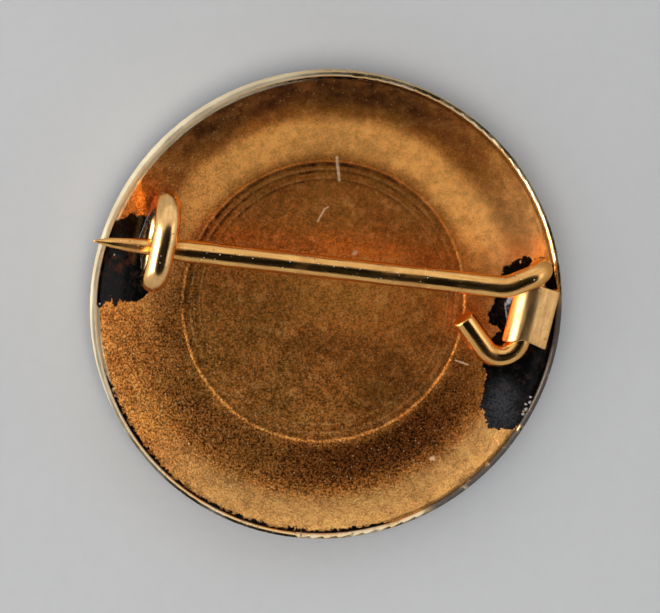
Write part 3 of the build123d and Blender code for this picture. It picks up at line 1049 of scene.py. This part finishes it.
# %% The catch's line, from its box
low, high = box_mm("catch_wire")
catch_radius = 0.65
ROOM_FOR_DENTS = 0.012
HOOK_STRAIGHT, HOOK_GAP = 0.18, 0.22
THIN_PIN = 0.435
near_y, far_y = low.y + catch_radius, high.y - catch_radius
low_z, high_z = low.z + catch_radius, high.z - catch_radius
strand_x, hook_x = high.x - catch_radius, low.x + catch_radius
hook_foot = on_stem(strand_x).z + THIN_PIN + HOOK_GAP
catch_line = bent_line(
    [
        (strand_x, near_y, low_z),
        (strand_x, far_y, low_z),
        (strand_x, far_y, high_z),
        (hook_x, near_y, high_z),
        (hook_x, near_y, hook_foot),
    ],
    [1.50, 1.50, high_z - hook_foot - HOOK_STRAIGHT],
)
catch = wire("catch", catch_line, lambda distance: catch_radius - ROOM_FOR_DENTS, CUT_END, CUT_END, 5.3)
catch.data.materials.append(gilt_catch)
print("catch", len(catch.data.vertices), "points")

# %% [markdown]
# ## The hinge strip
# The hinge is a strip of sheet rolled most of the way round the pin, with the rest folded down to
# the disc as a foot. It is made like the wire, from a line, but the ring is a rounded rectangle, and
# its two ends follow the strip's trimmed outline. The rounding gives the soft bright edge that
# sheared sheet has after gilding.

# %% The strip's section and outline
strip_thick = 0.25
roll_inside = pin_radius + 0.06
roll_radius = roll_inside + strip_thick / 2
ROLL_FROM, ROLL_TURN, ROLL_STEPS = 285, 220, 40
FLAP_REACH = 1.37
roll_side = -roll_radius - strip_thick / 2 - 0.005
outline_low = [(roll_side, -1.55), (0.0, -1.10), (FLAP_REACH, -1.47)]
outline_high = [(roll_side, 1.30), (0.0, 1.80), (FLAP_REACH, 1.60)]
flap_tilt = math.radians(25)
corner_round = 0.07


def between(table, x):
    """Value read from a short table by straight lines."""
    for (left, low_value), (right, high_value) in zip(table, table[1:]):
        if x <= right or right == table[-1][0]:
            share = min(max((x - left) / (right - left), 0), 1)
            return low_value + (high_value - low_value) * share


roll = []
for step in range(ROLL_STEPS + 1):
    angle = math.radians(ROLL_FROM - ROLL_TURN * step / ROLL_STEPS)
    roll.append(Vector((roll_radius * math.cos(angle), 0, roll_radius * math.sin(angle))))
fold_x = FLAP_REACH - strip_thick / 2
fold_z = roll[-1].z - (fold_x - roll[-1].x) * math.tan(flap_tilt)
foot_z = border_height(hinge.x + fold_x) - 0.06 - hinge.z
flap = bent_line([tuple(roll[-1]), (fold_x, 0, fold_z), (fold_x, 0, foot_z)], [0.16], step=0.06)
strip_line = roll + flap[1:]
print("strip line", len(strip_line), "points, foot at", round(foot_z + hinge.z, 2), "mm")

# %% The strip itself
local = Matrix.Translation(hinge) @ Matrix.Rotation(math.atan2(-hinge_way.x, hinge_way.y), 4, "Z")
strip_frames = rolled_frames(strip_line)


def strip_ring(index, shrink=0.0, run=0.0):
    """Rounded rectangle across the strip at one point of its line."""
    centre = strip_line[index]
    ahead = strip_frames[index][0]
    out = Vector((0, 1, 0)).cross(ahead).normalized()
    low_y = between(outline_low, centre.x) + shrink
    high_y = between(outline_high, centre.x) - shrink
    half = strip_thick / 2 - shrink
    curve = max(corner_round - shrink, 0.004)
    points, marks = [], []
    for corner, (y, v) in enumerate(((high_y, half), (low_y, half), (low_y, -half), (high_y, -half))):
        towards_y = -1 if y == high_y else 1
        towards_v = -1 if v > 0 else 1
        base = (0, 90, 180, 270)[corner]
        for step in range(6):
            angle = math.radians(base + 90 * step / 5)
            around_y, around_v = math.cos(angle), math.sin(angle)
            place_y = y + towards_y * curve + curve * around_y
            place_v = v + towards_v * curve + curve * around_v
            worn = 0.012 * noise.noise(Vector((run * 0.8, place_y * 1.1, v * 9)))
            points.append(local @ (centre + out * (place_v + worn * 0.3) + Vector((0, place_y + worn, 0))))
            marks.append((place_y, run, place_v))
        for part in range(1, 12) if corner in (0, 2) else ():
            place_y = points_y(corner, low_y, high_y, curve, part / 12)
            points.append(local @ (centre + out * v + Vector((0, place_y, 0))))
            marks.append((place_y, run, v))
    return points, marks


def points_y(corner, low_y, high_y, curve, share):
    """Place along the strip's width on its outer or inner face."""
    first, last = high_y - curve, low_y + curve
    if corner == 2:
        first, last = last, first
    return first + (last - first) * share


strip_runs = [0.0]
for before, after in zip(strip_line, strip_line[1:]):
    strip_runs.append(strip_runs[-1] + (after - before).length)
rings = [strip_ring(0, 0.05)]
rings.extend(strip_ring(index, 0.0, run) for index, run in enumerate(strip_runs) if run > 0.03 or not index)
rings.append(strip_ring(len(strip_line) - 1, 0.03, strip_runs[-1]))
knuckle = skin("hinge_strip", rings)
knuckle.data.materials.append(gilt_strip)
print("hinge strip", len(knuckle.data.vertices), "points")

# %% [markdown]
# ## Solder under the fittings
# Solder runs out from under a fitting and thins to nothing, so its edge follows no ruled line. Each
# bank is a low mound laid on the border of the disc: rings of points go out from its middle, the
# height falls towards the edge, and noise makes the outline wander.


# %% Solder mounds
def solder_mound(name, middle, spread, height, seed, ridge):
    """Closed low mound on the border; ridge is how steeply it falls near its edge."""
    top, bottom = [], []
    spokes, circles = 72, 14
    for circle in range(circles + 1):
        share = circle / circles
        for spoke in range(spokes):
            angle = 2 * math.pi * spoke / spokes
            cosine, sine = math.cos(angle), math.sin(angle)
            wander = 1 + 0.16 * noise.fractal(Vector((cosine * 1.4, sine * 1.4, seed)), 1.0, 2.0, 4)
            x = middle[0] + spread[0] * share * wander * cosine
            y = middle[1] + spread[1] * share * wander * sine
            lump = 1 + 0.25 * noise.noise(Vector((x * 0.9, y * 0.9, seed)))
            base = border_height(min(math.hypot(x, y), coat_radius - 0.02))
            rise = height * (1 - share**ridge) * lump
            top.append(Vector((x, y, base + rise)))
            bottom.append(Vector((x, y, base - 0.03)))
    rows = [top[i * spokes : (i + 1) * spokes] for i in range(circles + 1)]
    under = [bottom[i * spokes : (i + 1) * spokes] for i in range(circles, -1, -1)]
    rings = [(row, [(p.x, p.y, p.z) for p in row]) for row in rows + under]
    mound = skin(name, rings, closed_ends=False)
    mound.data.materials.append(solder)
    print(name, len(mound.data.vertices), "points")
    return mound


def box_middle(name):
    """Middle and half size of a CAD node, seen from above."""
    low, high = box_mm(name)
    return ((low.x + high.x) / 2, (low.y + high.y) / 2), ((high.x - low.x) / 2, (high.y - low.y) / 2)


middle, half = box_middle("catch_solder")
catch_mound = solder_mound("catch_solder_bank", middle, (half[0] * 1.05, half[1] * 1.08), 0.16, 2.0, 2.4)
middle, half = box_middle("hinge_solder")
hinge_mound = solder_mound("hinge_solder_bank", middle, (half[0] * 1.25, half[1] * 1.20), 0.20, 8.0, 3.0)

# %% [markdown]
# ## What moves with what
# The catch, the strip and the solder are fixed to the badge. The pin stays where it is made, at rest,
# and is tied to neither joint; the CAD stem and axle are hidden in its place.

# %% Riding and replacing
for piece, node in (
    (catch, "catch_wire"),
    (knuckle, "hinge_knuckle"),
    (catch_mound, "catch_solder"),
    (hinge_mound, "hinge_solder"),
):
    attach(piece, "badge")
    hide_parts(node)
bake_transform(pin)
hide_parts("pin_stem", "pin_axle")

# %% [markdown]
# ## The table
# The badge lies on a plain pale surface with a slight gloss, so a soft shadow and a faint
# reflection hold it down.

# %% Pale floor
paper, tree, shader = new_material("pale_table")
here = place_mm(tree)
cloud = ramp(tree, noise_at(tree, here, 0.02, 3.0), 0.3, 0.7)
fleck = ramp(tree, noise_at(tree, here, 1.2, 6.0, 0.7), 0.3, 0.7)
tone = mix(tree, cloud, (0.66, 0.665, 0.675), (0.71, 0.715, 0.725))
tone = over(tree, tone, (0.54, 0.54, 0.55), fleck, 0.10)
sheen = ramp(tree, noise_at(tree, here, 0.05, 4.0), 0.3, 0.7, 0.34, 0.44)
connect(tree, shader, tone, sheen, product(tree, fleck, 0.004), 0.5)
floor_mesh = bpy.data.meshes.new("table")
half = 600 * MM
corners = [(-half, -half, 0), (half, -half, 0), (half, half, 0), (-half, half, 0)]
floor_mesh.from_pydata(corners, [], [(0, 1, 2, 3)])
floor_mesh.materials.append(paper)
table = bpy.data.objects.new("table", floor_mesh)
table.location.z = cad_box[0][2]
bpy.context.scene.collection.objects.link(table)
print("table at", round(table.location.z / MM, 3), "mm")
